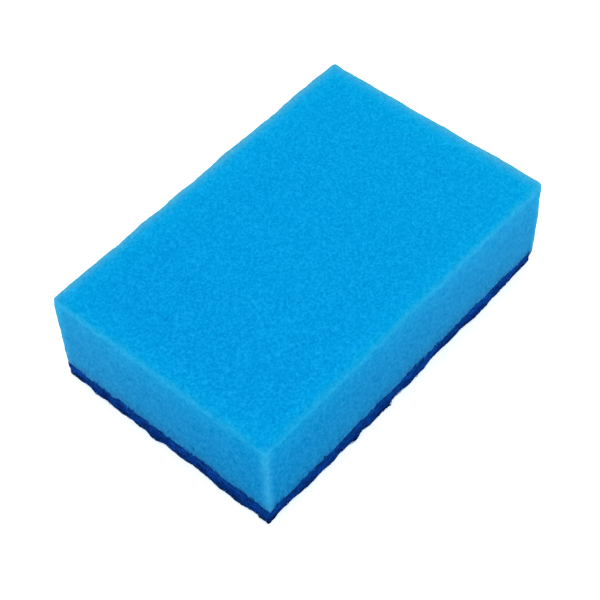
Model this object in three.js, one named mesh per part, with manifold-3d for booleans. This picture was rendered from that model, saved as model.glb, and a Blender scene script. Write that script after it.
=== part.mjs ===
// Two-layer rectangular sponge: a thick block of fine open-cell polyurethane
// foam, glued face to face onto a thin non-woven scouring pad.
// Millimetres, +Z up. The origin is the middle of the pad's underside, +X runs
// along the long side and +Y along the short side. The pad is at the bottom.
import * as THREE from "three";
import { mergeVertices } from "three/addons/utils/BufferGeometryUtils.js";
import Module from "manifold-3d";

// ---- Driving dimensions ----------------------------------------------------
const LENGTH = 100; // long side, X
const WIDTH = 65; // short side, Y

const PAD_THICKNESS = 4.25; // non-woven scouring pad
const BOND_THICKNESS = 0.25; // cured film of laminating adhesive
const FOAM_THICKNESS = 25; // foam slab

const FOAM_EDGE_RADIUS = 0.8; // soft edge round the foam's working face
const FOAM_CORNER_RADIUS = 1.1; // the four upright edges of the foam
const PAD_EDGE_RADIUS = 0.6; // worn-over edge round the pad's working face
const PAD_CORNER_RADIUS = 1.3; // the four upright edges of the pad
const BOND_INSET = 0.5; // the adhesive stops short of the cut sides

const ARC_STEPS = 5; // segments in each quarter arc

// ---- Heights of the glued planes -------------------------------------------
const PAD_TOP = PAD_THICKNESS;
const FOAM_BOTTOM = PAD_TOP + BOND_THICKNESS;
const FOAM_TOP = FOAM_BOTTOM + FOAM_THICKNESS;

const wasm = await Module();
wasm.setup();

// Outline of a rectangle with round corners, centred on the origin.
function roundedOutline(length, width, radius) {
  const x = length / 2;
  const y = width / 2;
  const s = new THREE.Shape();
  s.moveTo(-x + radius, -y);
  s.lineTo(x - radius, -y);
  s.absarc(x - radius, -y + radius, radius, -Math.PI / 2, 0, false);
  s.lineTo(x, y - radius);
  s.absarc(x - radius, y - radius, radius, 0, Math.PI / 2, false);
  s.lineTo(-x + radius, y);
  s.absarc(-x + radius, y - radius, radius, Math.PI / 2, Math.PI, false);
  s.lineTo(-x, -y + radius);
  s.absarc(-x + radius, -y + radius, radius, Math.PI, 1.5 * Math.PI, false);
  return s;
}

// A slab with a rounded edge at both faces, from z = low to z = high.
function softSlab(length, width, corner, edge, low, high) {
  const outline = roundedOutline(
    length - 2 * edge,
    width - 2 * edge,
    corner - edge,
  );
  const slab = new THREE.ExtrudeGeometry(outline, {
    depth: high - low - 2 * edge,
    bevelEnabled: true,
    bevelThickness: edge,
    bevelSize: edge,
    bevelSegments: ARC_STEPS,
    curveSegments: ARC_STEPS,
  });
  return slab.translate(0, 0, low + edge);
}

function toSolid(geometry) {
  const g = geometry.index ? geometry.toNonIndexed() : geometry.clone();
  g.deleteAttribute("normal");
  g.deleteAttribute("uv");
  const merged = mergeVertices(g, 1e-4);
  return new wasm.Manifold(
    new wasm.Mesh({
      numProp: 3,
      vertProperties: merged.attributes.position.array,
      triVerts: new Uint32Array(merged.index.array),
    }),
  );
}

function toGeometry(solid) {
  const mesh = solid.getMesh();
  const n = mesh.numProp;
  const position = new Float32Array(mesh.numVert * 3);
  for (let i = 0; i < mesh.numVert; i++)
    position.set(mesh.vertProperties.subarray(i * n, i * n + 3), i * 3);
  const g = new THREE.BufferGeometry();
  g.setAttribute("position", new THREE.BufferAttribute(position, 3));
  g.setIndex(new THREE.BufferAttribute(mesh.triVerts, 1));
  g.computeVertexNormals();
  return g;
}

// Keeps what lies between two heights, so that a glued face is cut flat.
function sliceFlat(geometry, low, high) {
  const keep = new THREE.BoxGeometry(2 * LENGTH, 2 * WIDTH, high - low);
  keep.translate(0, 0, (low + high) / 2);
  return toGeometry(toSolid(geometry).intersect(toSolid(keep)));
}

// ---- Foam block: soft edge round the top face, flat glued face below --------
const foamGeometry = sliceFlat(
  softSlab(
    LENGTH,
    WIDTH,
    FOAM_CORNER_RADIUS,
    FOAM_EDGE_RADIUS,
    FOAM_BOTTOM - 4,
    FOAM_TOP,
  ),
  FOAM_BOTTOM,
  FOAM_TOP + 1,
);
const foamBlock = new THREE.Mesh(
  foamGeometry,
  new THREE.MeshStandardMaterial({
    color: 0x18a0e0,
    roughness: 0.95,
    metalness: 0,
  }),
);
foamBlock.name = "foam_block";

// ---- Bond layer: a thin film between the two glued faces --------------------
const bondGeometry = new THREE.ExtrudeGeometry(
  roundedOutline(
    LENGTH - 2 * BOND_INSET,
    WIDTH - 2 * BOND_INSET,
    FOAM_CORNER_RADIUS - BOND_INSET,
  ),
  {
    depth: BOND_THICKNESS,
    bevelEnabled: false,
    curveSegments: ARC_STEPS,
  },
);
const bondLayer = new THREE.Mesh(
  bondGeometry,
  new THREE.MeshStandardMaterial({
    color: 0x2a5f8c,
    roughness: 0.6,
    metalness: 0,
  }),
);
bondLayer.name = "bond_layer";
bondLayer.position.z = PAD_TOP;

// ---- Scouring pad: flat glued face above, rounded edge round the bottom -----
const padGeometry = sliceFlat(
  softSlab(
    LENGTH,
    WIDTH,
    PAD_CORNER_RADIUS,
    PAD_EDGE_RADIUS,
    0,
    PAD_TOP + 4,
  ),
  -1,
  PAD_TOP,
);
const scouringPad = new THREE.Mesh(
  padGeometry,
  new THREE.MeshStandardMaterial({
    color: 0x052f72,
    roughness: 0.9,
    metalness: 0,
  }),
);
scouringPad.name = "scouring_pad";

// ---- Laminate ----------------------------------------------------------------
const group = new THREE.Group();
group.name = "scouring_sponge";
group.add(scouringPad, bondLayer, foamBlock);

export default group;
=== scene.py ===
"""Looks for the two-layer scouring sponge: foam block, adhesive film and non-woven pad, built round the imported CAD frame.
Everything is in metres in the frame's own axes: origin under the middle of the pad, +X along the long side, +Z up."""

import math

import bpy
import numpy as np
from mathutils import Matrix, Vector


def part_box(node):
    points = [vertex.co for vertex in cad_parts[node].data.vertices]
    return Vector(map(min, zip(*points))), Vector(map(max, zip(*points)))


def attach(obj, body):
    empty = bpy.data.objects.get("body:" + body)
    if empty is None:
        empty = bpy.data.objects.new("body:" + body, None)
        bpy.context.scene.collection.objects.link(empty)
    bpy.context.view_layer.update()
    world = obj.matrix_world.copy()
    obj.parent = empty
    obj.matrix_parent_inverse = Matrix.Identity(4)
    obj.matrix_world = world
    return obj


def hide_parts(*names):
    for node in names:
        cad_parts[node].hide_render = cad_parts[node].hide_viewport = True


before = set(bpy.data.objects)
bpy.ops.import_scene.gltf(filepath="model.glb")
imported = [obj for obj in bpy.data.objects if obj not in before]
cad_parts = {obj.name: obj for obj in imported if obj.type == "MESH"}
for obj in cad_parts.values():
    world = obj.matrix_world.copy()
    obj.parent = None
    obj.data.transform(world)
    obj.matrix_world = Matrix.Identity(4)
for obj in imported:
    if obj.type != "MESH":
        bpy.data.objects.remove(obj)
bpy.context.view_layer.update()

MM = 0.001
FOAM_LO, FOAM_HI = (np.array(c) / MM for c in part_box("foam_block"))
BOND_LO, BOND_HI = (np.array(c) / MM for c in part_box("bond_layer"))
PAD_LO, PAD_HI = (np.array(c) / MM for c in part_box("scouring_pad"))


# ----------------------------------------------------------------------------------------------------------------
# Camera, floor and light
# ----------------------------------------------------------------------------------------------------------------
scene = bpy.context.scene
scene.view_settings.view_transform = "Standard"
scene.view_settings.look = "None"
scene.view_settings.exposure = 0.0
scene.view_settings.gamma = 1.0


def make_camera():
    data = bpy.data.cameras.new("camera")
    data.sensor_width = 36.0
    data.lens = 96.11
    data.clip_start, data.clip_end = 0.01, 20.0
    cam = bpy.data.objects.new("camera", data)
    scene.collection.objects.link(cam)
    right = Vector((0.653004, -0.757070, -0.020779))
    down = Vector((-0.604005, -0.504035, -0.617353))
    ahead = Vector((0.456906, 0.415685, -0.786412))
    turn = Matrix((right, -down, -ahead)).transposed().to_4x4()
    cam.matrix_world = Matrix.Translation((-0.180305, -0.162353, 0.315214)) @ turn
    scene.camera = cam
    return cam


make_camera()

WORLD_STRENGTH = 1.30


def make_world():
    world = bpy.data.worlds.new("studio")
    scene.world = world
    world.use_nodes = True
    bg = world.node_tree.nodes["Background"]
    bg.inputs["Color"].default_value = (1.0, 1.0, 1.0, 1.0)
    bg.inputs["Strength"].default_value = WORLD_STRENGTH


def area_light(name, at, look, size, power, colour=(1, 1, 1)):
    data = bpy.data.lights.new(name, "AREA")
    data.shape = "SQUARE"
    data.size = size
    data.energy = power
    data.color = colour
    o = bpy.data.objects.new(name, data)
    scene.collection.objects.link(o)
    o.location = at
    o.rotation_mode = "QUATERNION"
    o.rotation_quaternion = (Vector(look) - Vector(at)).to_track_quat("-Z", "Y")
    return o


make_world()
area_light("soft_far", (0.20, 0.35, 0.80), (0.02, 0.01, 0.02), 0.70, 0.9)
area_light("soft_front", (0.30, -0.60, 0.30), (0.03, -0.03, 0.015), 0.50, 0.5)
area_light("soft_left", (-0.60, 0.30, 0.30), (-0.05, 0.02, 0.015), 0.50, 0.4)


# ----------------------------------------------------------------------------------------------------------------
# Node helpers
# ----------------------------------------------------------------------------------------------------------------
class Nodes:
    """Short names for building a material's node tree."""

    def __init__(self, name):
        self.mat = bpy.data.materials.new(name)
        self.mat.use_nodes = True
        self.nt = self.mat.node_tree
        self.nt.nodes.clear()
        self.out = self.nt.nodes.new("ShaderNodeOutputMaterial")
        self.bsdf = self.nt.nodes.new("ShaderNodeBsdfPrincipled")
        self.nt.links.new(self.bsdf.outputs["BSDF"], self.out.inputs["Surface"])

    def put(self, socket, value):
        if isinstance(value, bpy.types.NodeSocket):
            self.nt.links.new(value, socket)
        elif isinstance(value, (tuple, list)) and len(value) == 3 and socket.type == "RGBA":
            socket.default_value = (*value, 1.0)
        else:
            socket.default_value = value

    def node(self, kind, inputs=None, **props):
        n = self.nt.nodes.new(kind)
        for k, v in props.items():
            setattr(n, k, v)
        for k, v in (inputs or {}).items():
            self.put(n.inputs[k], v)
        return n

    def math(self, op, a, b=None, c=None, clamp=False):
        n = self.node("ShaderNodeMath", operation=op, use_clamp=clamp)
        self.put(n.inputs[0], a)
        if b is not None:
            self.put(n.inputs[1], b)
        if c is not None:
            self.put(n.inputs[2], c)
        return n.outputs[0]

    def vmath(self, op, a, b=None, scale=None):
        n = self.node("ShaderNodeVectorMath", operation=op)
        self.put(n.inputs[0], a)
        if b is not None:
            self.put(n.inputs[1], b)
        if scale is not None:
            self.put(n.inputs["Scale"], scale)
        return n.outputs[0] if op not in ("LENGTH", "DISTANCE", "DOT_PRODUCT") else n.outputs["Value"]

    def remap(self, value, a, b, c, d, smooth=False):
        n = self.node("ShaderNodeMapRange", interpolation_type="SMOOTHSTEP" if smooth else "LINEAR", clamp=True)
        for k, v in (("Value", value), ("From Min", a), ("From Max", b), ("To Min", c), ("To Max", d)):
            self.put(n.inputs[k], v)
        return n.outputs[0]

    def mix(self, factor, a, b, blend="MIX"):
        n = self.node("ShaderNodeMix", data_type="RGBA", blend_type=blend, clamp_factor=True)
        self.put(n.inputs["Factor"], factor)
        self.put(n.inputs["A"], a) if False else self.put(n.inputs[6], a)
        self.put(n.inputs[7], b)
        return n.outputs[2]

    def noise(self, vector, scale, detail=2.0, rough=0.5, distortion=0.0):
        return self.node(
            "ShaderNodeTexNoise",
            {"Vector": vector, "Scale": scale, "Detail": detail, "Roughness": rough, "Distortion": distortion},
            noise_dimensions="3D",
        )

    def cells(self, vector, scale, feature="F1", random=1.0):
        return self.node(
            "ShaderNodeTexVoronoi",
            {"Vector": vector, "Scale": scale, "Randomness": random},
            voronoi_dimensions="3D",
            feature=feature,
        )

    def ramp(self, value, lo, hi, stops):
        """A colour for a value from lo to hi. stops: (value, (r, g, b)), linear between them."""
        n = self.node("ShaderNodeValToRGB")
        self.put(n.inputs["Fac"], self.remap(value, lo, hi, 0.0, 1.0))
        e = n.color_ramp.elements
        while len(e) < len(stops):
            e.new(0.5)
        for element, (at, colour) in zip(e, sorted(stops)):
            element.position = (at - lo) / (hi - lo)
        for element, (at, colour) in zip(e, sorted(stops)):
            element.color = (*colour, 1.0)
        return n.outputs["Color"]

    def attribute(self, name):
        n = self.node("ShaderNodeAttribute", attribute_name=name, attribute_type="GEOMETRY")
        return n.outputs["Fac"]

    def grey(self, value):
        """A colour that multiplies every channel by value."""
        n = self.node("ShaderNodeCombineColor", mode="RGB")
        for i in range(3):
            self.put(n.inputs[i], value)
        return n.outputs[0]


# ----------------------------------------------------------------------------------------------------------------
# Seeded noise for the meshes, in millimetres
# ----------------------------------------------------------------------------------------------------------------
def hashed(ix, iy, iz, seed):
    """A number in [0, 1) for each lattice point."""
    with np.errstate(over="ignore"):
        h = (
            ix.astype(np.uint32) * np.uint32(374761393)
            + iy.astype(np.uint32) * np.uint32(668265263)
            + iz.astype(np.uint32) * np.uint32(2147483647)
            + np.uint32((seed * 1274126177) & 0xFFFFFFFF)
        )
        h ^= h >> np.uint32(13)
        h *= np.uint32(1274126177)
        h ^= h >> np.uint32(16)
        h *= np.uint32(2246822519)
        h ^= h >> np.uint32(13)
    return h.astype(np.float64) / 4294967296.0


def soft_noise(p, size, seed):
    """Smooth noise from -1 to 1 at points p (n, 3). size is the feature size, a number or one for each axis."""
    q = p / np.asarray(size, float)
    i = np.floor(q).astype(np.int64)
    f = q - i
    f = f * f * f * (f * (f * 6 - 15) + 10)
    total = np.zeros(len(p))
    for dx in (0, 1):
        wx = f[:, 0] if dx else 1 - f[:, 0]
        for dy in (0, 1):
            wy = f[:, 1] if dy else 1 - f[:, 1]
            for dz in (0, 1):
                wz = f[:, 2] if dz else 1 - f[:, 2]
                total += wx * wy * wz * hashed(i[:, 0] + dx, i[:, 1] + dy, i[:, 2] + dz, seed)
    return total * 2 - 1


def layered(p, size, octaves, seed, keep=0.5):
    total, weight, amount = np.zeros(len(p)), 0.0, 1.0
    for k in range(octaves):
        total += amount * soft_noise(p, np.asarray(size, float) / 2**k, seed + 17 * k)
        weight += amount
        amount *= keep
    return total / weight


def cell_noise(p, size, seed):
    """(distance to the nearest cell point, to the second nearest, a random number for the nearest), distances in cell sizes."""
    q = p / size
    base = np.floor(q).astype(np.int64)
    f1, f2 = np.full(len(p), 9.0), np.full(len(p), 9.0)
    rid = np.zeros(len(p))
    for dx in (-1, 0, 1):
        for dy in (-1, 0, 1):
            for dz in (-1, 0, 1):
                c = base + (dx, dy, dz)
                pt = np.stack([c[:, a] + hashed(c[:, 0], c[:, 1], c[:, 2], seed + 101 * (a + 1)) for a in range(3)], 1)
                d = np.sqrt(((pt - q) ** 2).sum(1))
                r = hashed(c[:, 0], c[:, 1], c[:, 2], seed + 977)
                nearer = d < f1
                f2 = np.where(nearer, f1, np.minimum(f2, d))
                rid = np.where(nearer, r, rid)
                f1 = np.where(nearer, d, f1)
    return f1, f2, rid


def smooth_step(x, a, b):
    t = np.clip((x - a) / (b - a), 0, 1)
    return t * t * (3 - 2 * t)


# ----------------------------------------------------------------------------------------------------------------
# A slab as one closed skin: fine quads on one broad face and round the sides, one flat polygon on the glued face
# ----------------------------------------------------------------------------------------------------------------
def spaced(lo, hi, coarse, lo_fine=True, hi_fine=True, fine=0.16, growth=0.10):
    """Places from lo to hi, close together at a fine end and coarse in the middle."""

    def ramp():
        out, d = [], 0.0
        while True:
            step = fine + growth * d
            if step >= coarse:
                return np.array(out)
            out.append(d)
            d += step

    band = ramp()
    start = band if lo_fine else np.zeros(0)
    end = band if hi_fine else np.zeros(0)
    a = lo + (band[-1] + fine + growth * band[-1] if lo_fine else 0.0)
    b = hi - (band[-1] + fine + growth * band[-1] if hi_fine else 0.0)
    middle = np.linspace(a, b, max(2, round((b - a) / coarse) + 1))
    return np.concatenate([lo + start, middle, hi - end[::-1]])


class Slab:
    """verts (n, 3) on the plain box, quads, the glued face's ring, and each quad's side: 0 broad, 1 front, 2 right, 3 back, 4 left."""

    def __init__(self, xs, ys, zs):
        nx, ny, nz = len(xs) - 1, len(ys) - 1, len(zs) - 1
        ring = (
            [(i, 0) for i in range(nx)]
            + [(nx, j) for j in range(ny)]
            + [(i, ny) for i in range(nx, 0, -1)]
            + [(0, j) for j in range(ny, 0, -1)]
        )
        side = [1] * nx + [2] * ny + [3] * nx + [4] * ny
        n = len(ring)
        rx = np.array([xs[i] for i, _ in ring])
        ry = np.array([ys[j] for _, j in ring])
        sides = np.stack(
            [np.tile(rx, nz + 1), np.tile(ry, nz + 1), np.repeat(zs, n)], 1
        )
        q, k = np.meshgrid(np.arange(n), np.arange(nz), indexing="xy")
        q, k = q.ravel(), k.ravel()
        q1 = (q + 1) % n
        side_quads = np.stack([k * n + q, k * n + q1, (k + 1) * n + q1, (k + 1) * n + q], 1)
        index = np.full((nx + 1, ny + 1), -1, np.int64)
        for m, (i, j) in enumerate(ring):
            index[i, j] = nz * n + m
        gi, gj = np.meshgrid(np.arange(1, nx), np.arange(1, ny), indexing="ij")
        index[1:nx, 1:ny] = len(sides) + np.arange((nx - 1) * (ny - 1)).reshape(nx - 1, ny - 1)
        broad = np.stack([xs[gi].ravel(), ys[gj].ravel(), np.full(gi.size, zs[-1])], 1)
        a, b = np.meshgrid(np.arange(nx), np.arange(ny), indexing="ij")
        a, b = a.ravel(), b.ravel()
        broad_quads = np.stack([index[a, b], index[a + 1, b], index[a + 1, b + 1], index[a, b + 1]], 1)
        self.verts = np.concatenate([sides, broad])
        self.quads = np.concatenate([side_quads, broad_quads])
        self.side = np.concatenate([np.array(side)[q], np.zeros(len(broad_quads), int)])
        self.cap = np.arange(n)[::-1]
        self.ring = n


def rounded(p, lo, hi, radius, glued_low=True):
    """Moves points on a box's skin onto the box with round edges, except round the glued face. Returns the points and outward directions."""
    r = np.asarray(radius)[:, None] if np.ndim(radius) else radius
    inner_lo, inner_hi = lo + r, hi - r
    c = np.minimum(np.maximum(p, inner_lo), inner_hi)
    if glued_low:
        c[:, 2] = np.minimum(p[:, 2], (inner_hi[:, 2] if np.ndim(inner_hi) > 1 else inner_hi[2]))
    else:
        c[:, 2] = np.maximum(p[:, 2], (inner_lo[:, 2] if np.ndim(inner_lo) > 1 else inner_lo[2]))
    d = p - c
    length = np.sqrt((d**2).sum(1))[:, None]
    n = d / np.maximum(length, 1e-9)
    return c + r * n, n


def slab_mesh(name, slab, points, flip=False, floats=None):
    """The Blender mesh, with a UV map of one island a side."""
    quads = slab.quads[:, ::-1] if flip else slab.quads
    cap = slab.cap[::-1] if flip else slab.cap
    mesh = bpy.data.meshes.new(name)
    nq = len(quads)
    mesh.vertices.add(len(points))
    mesh.vertices.foreach_set("co", (points * MM).astype(np.float32).ravel())
    loops = np.concatenate([quads.ravel(), cap]).astype(np.int32)
    mesh.loops.add(len(loops))
    mesh.loops.foreach_set("vertex_index", loops)
    mesh.polygons.add(nq + 1)
    mesh.polygons.foreach_set("loop_start", np.concatenate([np.arange(nq) * 4, [nq * 4]]).astype(np.int32))
    mesh.polygons.foreach_set("loop_total", np.concatenate([np.full(nq, 4), [len(cap)]]).astype(np.int32))
    mesh.update(calc_edges=True)
    smooth = np.ones(nq + 1, bool)
    smooth[-1] = False
    mesh.polygons.foreach_set("use_smooth", smooth)
    sharp = np.zeros(len(mesh.edges), bool)
    ends = np.zeros(len(mesh.edges) * 2, np.int32)
    mesh.edges.foreach_get("vertices", ends)
    ends = ends.reshape(-1, 2)
    sharp[(ends < slab.ring).all(1)] = True  # round the glued face
    mesh.attributes.new("sharp_edge", "BOOLEAN", "EDGE").data.foreach_set("value", sharp)

    # UV islands, laid out in millimetres on a square sheet and then scaled to it
    lo, hi = slab.verts.min(0), slab.verts.max(0)
    lx, ly, lz = hi - lo
    gap = 1.0
    v = slab.verts[loops] - lo
    side = np.concatenate([np.repeat(slab.side, 4), np.full(len(cap), 5)])
    uv = np.zeros((len(loops), 2))
    for s, u0, v0, u, w in (
        (0, 0, 0, 0, 1),
        (1, 0, ly + gap, 0, 2),
        (3, 0, ly + lz + 2 * gap, 0, 2),
        (2, lx + gap, 0, 2, 1),
        (4, lx + gap, ly + gap, 2, 1),
    ):
        m = side == s
        uv[m, 0], uv[m, 1] = u0 + v[m, u], v0 + v[m, w]
    m = side == 5
    uv[m, 0] = lx + 2 * gap + lz + v[m, 0] * 0.02
    uv[m, 1] = v[m, 1] * 0.02
    span = max(lx + lz + 3 * gap + 2.2, 2 * ly + 2 * gap, ly + 2 * lz + 3 * gap)
    uv = (uv + 0.5) / (span + 1.0)
    layer = mesh.uv_layers.new(name="OFBake")
    layer.data.foreach_set("uv", uv.astype(np.float32).ravel())
    for key, values in (floats or {}).items():
        mesh.attributes.new(key, "FLOAT", "POINT").data.foreach_set("value", values.astype(np.float32))
    mesh.validate()
    o = bpy.data.objects.new(name, mesh)
    scene.collection.objects.link(o)
    return o


# ----------------------------------------------------------------------------------------------------------------
# Foam block
# ----------------------------------------------------------------------------------------------------------------
def side_places(p, n):
    """A place for noise that runs round the sides: distance along the side."""
    along_x = np.abs(n[:, 1]) > np.abs(n[:, 0])
    s = np.where(along_x, p[:, 0], p[:, 1] + 400.0)
    s = s + np.where(along_x, np.sign(n[:, 1]) * 150.0, np.sign(n[:, 0]) * 150.0)
    return s


# How far the upright edges at the far right (B) and the far left (D) stand out, in millimetres, by depth below the top.
CORNER_B = [
    (0.0, 0.42), (1.6, 0.48), (2.5, 0.42), (3.7, 0.27), (5.6, 0.17), (7.5, 0.28), (9.3, 0.36), (11.2, 0.50),
    (13.0, 0.50), (15.0, 0.42), (18.7, 0.36), (20.6, 0.37), (22.4, 0.24), (25.0, 0.10),
]  # fmt: skip
CORNER_D = [
    (0.0, 0.15), (1.0, 0.22), (2.8, 0.40), (4.9, 0.36), (7.0, 0.31), (9.0, 0.29), (11.0, 0.29), (14.0, 0.26),
    (18.0, 0.30), (20.0, 0.27), (22.4, 0.11), (24.3, 0.00), (25.0, -0.02),
]  # fmt: skip
CORNER_A = [(0.0, 0.0), (20.0, 0.0), (23.5, 0.06), (25.0, 0.20)]  # the near upright edge


# How far the knife wandered out along the top rims of the two other sides, in millimetres, by place along them.
RIM_BACK = [  # +Y side, by x
    (-49.0, -0.19), (-47.0, -0.10), (-45.0, -0.03), (-43.0, -0.03), (-41.0, 0.08), (-39.0, 0.07), (-37.0, 0.01),
    (-35.0, 0.08), (-33.0, 0.22), (-31.0, 0.19), (-29.0, -0.08), (-27.0, 0.13), (-25.0, 0.12), (-23.0, 0.26),
    (-21.0, 0.40), (-19.0, 0.44), (-17.0, 0.28), (-15.0, 0.09), (-13.0, 0.04), (-11.0, 0.36), (-9.0, 0.32),
    (-7.0, 0.33), (-5.0, 0.12), (-3.0, -0.01), (-1.0, 0.09), (1.0, 0.16), (3.0, 0.12), (5.0, 0.26), (7.0, 0.49),
    (9.0, 0.52), (11.0, 0.37), (13.0, 0.27), (15.0, 0.31), (17.0, 0.19), (19.0, 0.17), (21.0, 0.26), (23.0, 0.30),
    (25.0, 0.20), (27.0, 0.19), (29.0, 0.30), (31.0, 0.51), (33.0, 0.52), (35.0, 0.59), (37.0, 0.60), (39.0, 0.48),
    (41.0, 0.56), (43.0, 0.68), (45.0, 0.38), (47.0, 0.36), (49.0, 0.50),
]  # fmt: skip
RIM_RIGHT = [  # +X side, by y
    (-31.0, -0.11), (-29.0, -0.18), (-27.0, -0.05), (-25.0, 0.07), (-23.0, 0.18), (-21.0, 0.25), (-19.0, 0.43),
    (-17.0, 0.34), (-15.0, 0.26), (-13.0, 0.17), (-11.0, 0.07), (-9.0, 0.07), (-7.0, 0.18), (-5.0, 0.41),
    (-3.0, 0.36), (-1.0, 0.15), (1.0, 0.06), (3.0, 0.08), (5.0, -0.07), (7.0, -0.28), (9.0, -0.06), (11.0, 0.00),
    (13.0, 0.07), (15.0, -0.06), (17.0, -0.03), (19.0, -0.00), (21.0, 0.04), (23.0, 0.13), (25.0, 0.15), (27.0, 0.12),
    (29.0, 0.05), (31.0, 0.11),
]  # fmt: skip


def foam_wander(q, flat):
    """How far the foam's sides stand out at points q on its box. flat is 1 on the sides and 0 on top."""
    lo, hi = FOAM_LO, FOAM_HI
    # Wire-cut sides: long shallow waves, and a very slight waist where the block sprang back after it was cut.
    t = (q[:, 2] - lo[2]) / (hi[2] - lo[2])
    wave = 0.15 * soft_noise(q, (15.0, 15.0, 13.0), 21) + 0.09 * soft_noise(q, (6.0, 6.0, 8.0), 22)
    waist = -0.08 * (1 - (2 * t - 1) ** 2)
    out = wave + waist * flat
    # Some of the upright edges stand out a little, and tuck in again towards the glue line.
    deep = hi[2] - q[:, 2]
    from_a = np.hypot(q[:, 0] - lo[0], q[:, 1] - lo[1])
    from_b = np.hypot(q[:, 0] - hi[0], q[:, 1] - lo[1])
    from_c = np.hypot(q[:, 0] - hi[0], q[:, 1] - hi[1])
    from_d = np.hypot(q[:, 0] - lo[0], q[:, 1] - hi[1])
    out = out + np.exp(-from_a / 3.0) * np.interp(deep, *np.array(CORNER_A).T)
    out = out + np.exp(-from_b / 7.0) * np.interp(deep, *np.array(CORNER_B).T)
    out = out + np.exp(-from_d / 5.0) * np.interp(deep, *np.array(CORNER_D).T)
    out = out - 0.40 * np.exp(-from_c / 3.0) * (1 - smooth_step(q[:, 2], lo[2], lo[2] + 4.0))
    back, right = smooth_step(q[:, 1], hi[1] - 2.5, hi[1] - 0.5), smooth_step(q[:, 0], hi[0] - 2.5, hi[0] - 0.5)
    rim = back * np.interp(q[:, 0], *np.array(RIM_BACK).T) + right * np.interp(q[:, 1], *np.array(RIM_RIGHT).T)
    out = out + rim / np.maximum(back + right, 1.0) * (1 - 0.65 * smooth_step(deep, 3.0, 12.0))
    # The lower rim is ragged where the glue took hold of it, and hangs over the glue line in places.
    rag = 0.13 * soft_noise(q, (3.6, 3.6, 40.0), 25) + 0.09 * soft_noise(q, (1.5, 1.5, 9.0), 26)
    rag += 0.06 * soft_noise(q, (0.8, 0.8, 2.0), 27)
    return out + (0.04 + rag) * (1 - smooth_step(q[:, 2], lo[2] + 0.2, lo[2] + 1.8))


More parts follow.
